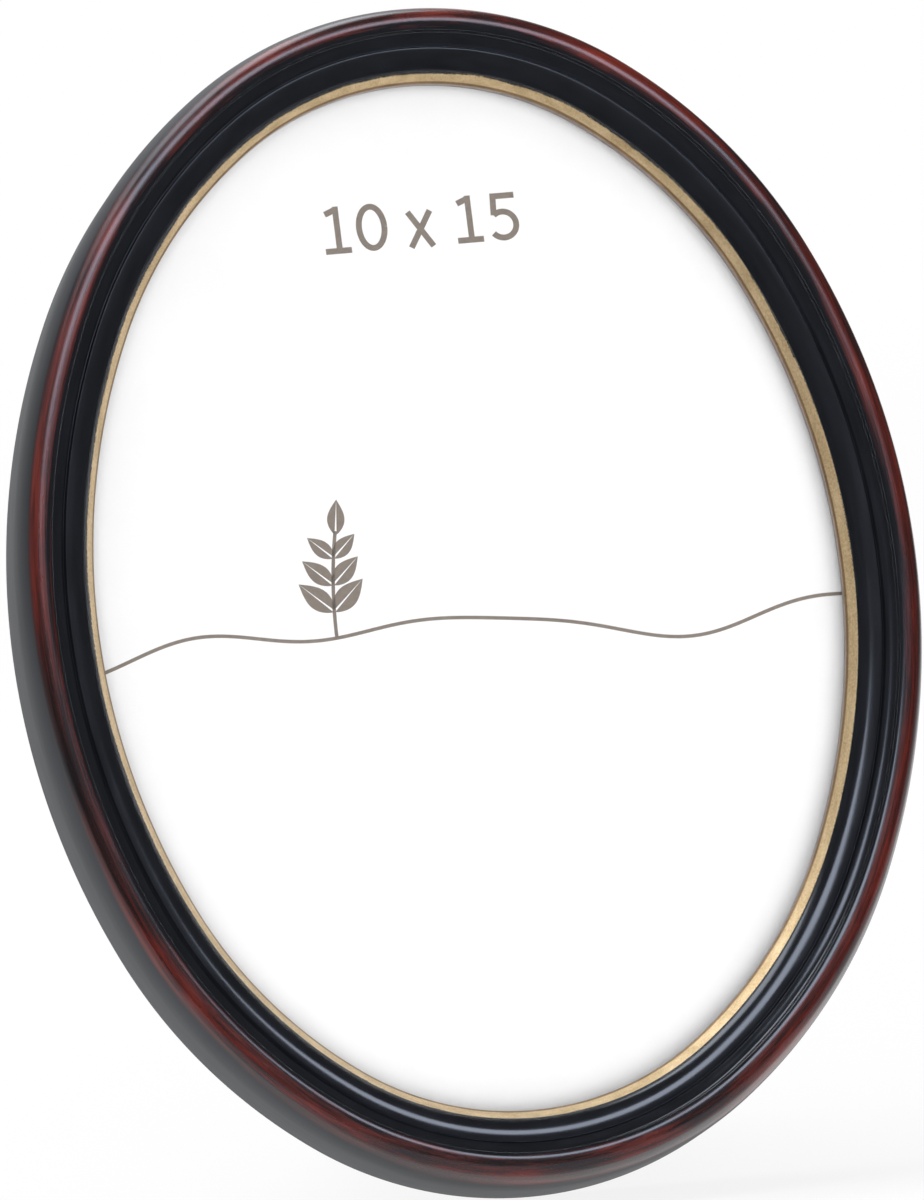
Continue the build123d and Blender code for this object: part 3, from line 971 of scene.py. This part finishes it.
def leaf(base_x, base_z, angle, length):
    """Two halves of a leaf, with a thin line of bare paper between them as its midrib."""
    pieces = []
    turn = radians(angle)
    half_width = length * leaf_width_share / 2
    for side in (-1, 1):
        outline = []
        for step in range(leaf_steps + 1):
            share = step / leaf_steps
            outline.append((share * length, side * midrib_gap / 2 * (1 - share)))
        for step in range(leaf_steps + 1):
            share = 1 - step / leaf_steps
            swell = sin(pi * share ** leaf_fullness)
            outline.append((share * length, side * (midrib_gap / 2 * (1 - share) + half_width * swell)))
        if (Vector(outline[-1]) - Vector(outline[0])).length < same_point:
            outline.pop()
        if side > 0:
            outline.reverse()
        vertices = []
        for along, off in outline:
            x = base_x + along * cos(turn) - off * sin(turn)
            z = base_z + along * sin(turn) + off * cos(turn)
            vertices.append(on_frame(x, z, paper_front_height + ink_lift))
        pieces.append((vertices, [tuple(range(len(vertices)))]))
    return pieces


def hill_height(x):
    """The height of the printed hill line at x."""
    share = x / sight_width
    waves = zip(hill_wave_heights, hill_wave_turns, hill_wave_starts)
    return hill_level + sum(height * sin(2 * pi * (share * turns + start))
                            for height, turns, start in waves)


def numeral_strokes():
    """The strokes of the printed size, a ten, a cross and a fifteen, as lines of points (x, z)."""
    top = numeral_base + numeral_height
    foot = numeral_base + numeral_stroke / 2
    bar = top - numeral_stroke / 2
    strokes = []
    for x in one_places:
        strokes.append([(x, top), (x, foot)])
        strokes.append([(x + one_flag[0], bar + one_flag[1]), (x, bar)])
        strokes.append([(x + one_foot[0], foot), (x + one_foot[1], foot)])
    zero = []
    zero_half_height = (numeral_height - numeral_stroke) / 2
    for step in range(numeral_steps + 1):
        turn = 2 * pi * step / numeral_steps
        zero.append((zero_middle + zero_half_width * cos(turn),
                     numeral_base + numeral_height / 2 + zero_half_height * sin(turn)))
    strokes.append(zero)
    for side in (-1, 1):
        strokes.append([(cross_middle - side * cross_half_width, numeral_base),
                        (cross_middle + side * cross_half_width, numeral_base + cross_height)])
    bowl = []
    for step in range(numeral_steps + 1):
        turn = radians(five_bowl_start + (five_bowl_end - five_bowl_start) * step / numeral_steps)
        bowl.append((five_bowl_middle[0] + five_bowl_radius * cos(turn),
                     numeral_base + five_bowl_middle[1] + five_bowl_radius * sin(turn)))
    strokes.append([(five_left - numeral_stroke / 2, bar), (five_right, bar)])
    strokes.append([(five_left, top), bowl[0]])
    strokes.append(bowl)
    return strokes


def print_object(material):
    """The printed size, a hill line from edge to edge, and a sprig that grows from it."""
    pieces = [ink_strip(stroke, numeral_stroke, layer) for layer, stroke in enumerate(numeral_strokes())]
    reach = sight_width / 2 + rabbet_width / 2
    across = [reach * (2 * step / hill_steps - 1) for step in range(hill_steps + 1)]
    pieces.append(ink_strip([(x, hill_height(x)) for x in across], line_width))

    def on_stem(share):
        """The point of the sprig's stem at a share of its height."""
        return sprig_x + sprig_bend * share ** 2, hill_height(sprig_x) + sprig_height * share

    stem = [on_stem(step / leaf_steps) for step in range(leaf_steps + 1)]
    pieces.append(ink_strip(stem, line_width))
    for index in range(sprig_pairs):
        foot = on_stem((index + 1) / (sprig_pairs + 1))
        for side in (-1, 1):
            pieces += leaf(*foot, 90 - side * leaf_spread, leaf_length * (1 - leaf_shrink_share * index))
    pieces += leaf(stem[-1][0], stem[-1][1] - line_width, 90 - leaf_tip_lean, leaf_length * tip_leaf_share)
    return joined("insert_print", pieces, "frame", material)


def height_of(point):
    """The height of a point of the row frame above the moulding's back plane, in millimetres."""
    return -(point - centre).dot(back_axis) / MM


# The object

moulding = moulding_object(moulding_material())
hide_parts("moulding")

paper = paper_object(paper_material())
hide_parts("print_insert")
print_object(ink_material())

frame["nodes"]["glass"].data.materials[0] = glass_material()
frame["nodes"]["filler_card"].data.materials[0] = board_material("filler_card_grey", card_tones, card_bump)

hardboard = board_material("hardboard_brown", hardboard_tones, hardboard_bump)
for node, body in (("back_board", "frame"), ("easel_strut", "easel")):
    dressed(node, body, hardboard, board_ease)

hinge_steel, button_steel, plated_steel, brassed_steel = [
    metal_material(name, tones, roughness) for name, (tones, roughness) in steels.items()]
for node, body in (("hinge_board_leaf", "frame"), ("hinge_strut_leaf", "easel")):
    dressed(node, body, hinge_steel, sheet_ease)
button_names = ("button_upper_right", "button_upper_left", "button_lower_left", "button_lower_right")
for name in button_names:
    dressed("turn_" + name, name, button_steel, sheet_ease)

hinge_place = Vector(joints["easel_hinge"]["pos_m"])
opening = Matrix.Rotation(radians(easel_opening), 3, "X")
board_places = [on_frame(x, board_rivet_z, leaf_back_height) for x in (-rivet_x, rivet_x)]
strut_places = [hinge_place + opening @ (on_frame(x, strut_rivet_z, strut_leaf_back_height) - hinge_place)
                for x in (-rivet_x, rivet_x)]
for made in (
        screws_object(plated_steel), pin_object(plated_steel),
        rivets_object("board_rivets", board_places, back_axis, "frame", rivet_head_height, plated_steel),
        rivets_object("strut_rivets", strut_places, opening @ back_axis, "easel", rivet_head_height,
                      plated_steel)):
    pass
dressed("hanger_strap", "frame", brassed_steel, sheet_ease)
rivets_object("hanger_rivet", [on_frame(0, strap_rivet_z, strap_back_height)], back_axis, "frame",
                      strap_rivet_head_height, brassed_steel)
ring_object(brassed_steel)


# Camera

def make_camera():
    """The camera of the photograph."""
    azimuth, elevation, roll = map(radians, (camera_azimuth, camera_elevation, camera_roll))
    backward = Vector((-sin(azimuth) * cos(elevation), -cos(azimuth) * cos(elevation), sin(elevation)))
    level = (-backward).cross(Vector((0, 0, 1))).normalized()
    upward = level.cross(-backward)
    right = level * cos(roll) + upward * sin(roll)
    up = upward * cos(roll) - level * sin(roll)
    to_row = Matrix((right_axis, back_axis, up_axis)).transposed()
    place = on_frame(aim_x, aim_z, aim_height) + to_row @ backward * camera_distance * MM
    stand = to_row @ Matrix((right, up, backward)).transposed()
    data = bpy.data.cameras.new("photo_camera")
    data.sensor_fit = "HORIZONTAL"
    data.lens = photo_focal * data.sensor_width / photo_width
    data.clip_end = 20
    camera = linked("photo_camera", data)
    camera.matrix_world = Matrix.Translation(place) @ stand.to_4x4()
    bpy.context.scene.camera = camera


# Floor, backdrop and light

def stage_material():
    """White floor and backdrop that keep a soft shadow of the object. From behind and from below
    they are clear, so that they don't stand before the object in any view."""
    material, tree, shader = new_material("studio_white")
    connect(tree, shader, {"Base Color": (stage_grey, stage_grey, stage_grey, 1.0),
                           "Roughness": stage_roughness, "Specular IOR Level": 0.0})
    glow = add(tree, "ShaderNodeEmission", {"Color": (1.0, 1.0, 1.0, 1.0), "Strength": 1.0})
    rays = add(tree, "ShaderNodeLightPath")
    seen = maths(tree, "MAXIMUM", rays.outputs["Is Camera Ray"],
                 maths(tree, "MAXIMUM", rays.outputs["Is Glossy Ray"], rays.outputs["Is Transmission Ray"]))
    place = add(tree, "ShaderNodeSeparateXYZ", {0: add(tree, "ShaderNodeTexCoord").outputs["Object"]})
    aside = step_up(tree, maths(tree, "ABSOLUTE", place.outputs["X"]), side_glow_start, side_glow_full)
    behind = step_up(tree, place.outputs["Y"], backdrop_glow_start, backdrop_glow_full)
    ahead = step_up(tree, place.outputs["Y"], -front_glow_start, -front_glow_full)
    far = maths(tree, "MAXIMUM", aside, maths(tree, "MAXIMUM", behind, ahead))
    share = maths(tree, "MULTIPLY", seen, blended(tree, far, floor_glow_share, 1.0))
    white = add(tree, "ShaderNodeMixShader", {0: share, 1: shader.outputs[0], 2: glow.outputs[0]})
    clear = add(tree, "ShaderNodeBsdfTransparent")
    turned = add(tree, "ShaderNodeNewGeometry").outputs["Backfacing"]
    mix = add(tree, "ShaderNodeMixShader", {0: turned, 1: white.outputs[0], 2: clear.outputs[0]})
    tree.links.new(mix.outputs[0], tree.nodes["Material Output"].inputs["Surface"])
    return material


def make_stage():
    """A floor that rises into a backdrop behind the object."""
    profile = [(-stage_front, 0.0)]
    for step in range(stage_bend_steps + 1):
        turn = pi / 2 * step / stage_bend_steps
        profile.append((stage_back + stage_bend * sin(turn), stage_bend * (1 - cos(turn))))
    profile.append((stage_back + stage_bend, stage_top))
    vertices = [(side * stage_half_width, y, z) for y, z in profile for side in (-1, 1)]
    faces = [(2 * row, 2 * row + 1, 2 * row + 3, 2 * row + 2) for row in range(len(profile) - 1)]
    mesh = new_mesh("studio_sweep", vertices, faces)
    mesh.shade_smooth()
    mesh.materials.append(stage_material())
    linked("studio_sweep", mesh)


def make_lamp(name, place, width, height, power, colour, gives_light):
    """A soft box, level from left to right and turned towards the object. One that gives no light of
    its own is only seen in what is shiny."""
    data = bpy.data.lights.new(name, "AREA")
    data.shape = "RECTANGLE"
    data.size = width
    data.size_y = height
    data.energy = power
    data.color = colour
    lamp = linked(name, data)
    lamp.location = place
    lamp.visible_diffuse = gives_light
    lamp.rotation_euler = (centre - Vector(place)).to_track_quat("-Z", "Y").to_euler()


def make_world():
    """A soft light that comes mostly from the camera's side, and white behind the object."""
    world = bpy.data.worlds.new("studio")
    bpy.context.scene.world = world
    world.use_nodes = True
    tree = world.node_tree
    sky = tree.nodes["Background"]
    rays = add(tree, "ShaderNodeLightPath")
    place = add(tree, "ShaderNodeTexCoord").outputs["Generated"]
    depth = add(tree, "ShaderNodeSeparateXYZ", {0: place}).outputs["Y"]
    behind = step_up(tree, depth, world_turn_low, world_turn_high)
    ahead = step_up(tree, maths(tree, "MULTIPLY", depth, -1.0), world_front_low, world_front_high)
    light = blended(tree, ahead, world_light, world_front_light)
    glossy = maths(tree, "MAXIMUM", rays.outputs["Is Glossy Ray"], rays.outputs["Is Transmission Ray"])
    sky.inputs["Color"].default_value = (1.0, 1.0, 1.0, 1.0)
    seen = blended(tree, behind, world_gloss, 1.0)
    strength = blended(tree, glossy, light, seen)
    strength = blended(tree, rays.outputs["Is Camera Ray"], strength, 1.0)
    tree.links.new(strength, sky.inputs["Strength"])


make_camera()
make_stage()
make_world()
for lamp in lamps:
    make_lamp(*lamp)
bpy.context.scene.view_settings.view_transform = "Standard"
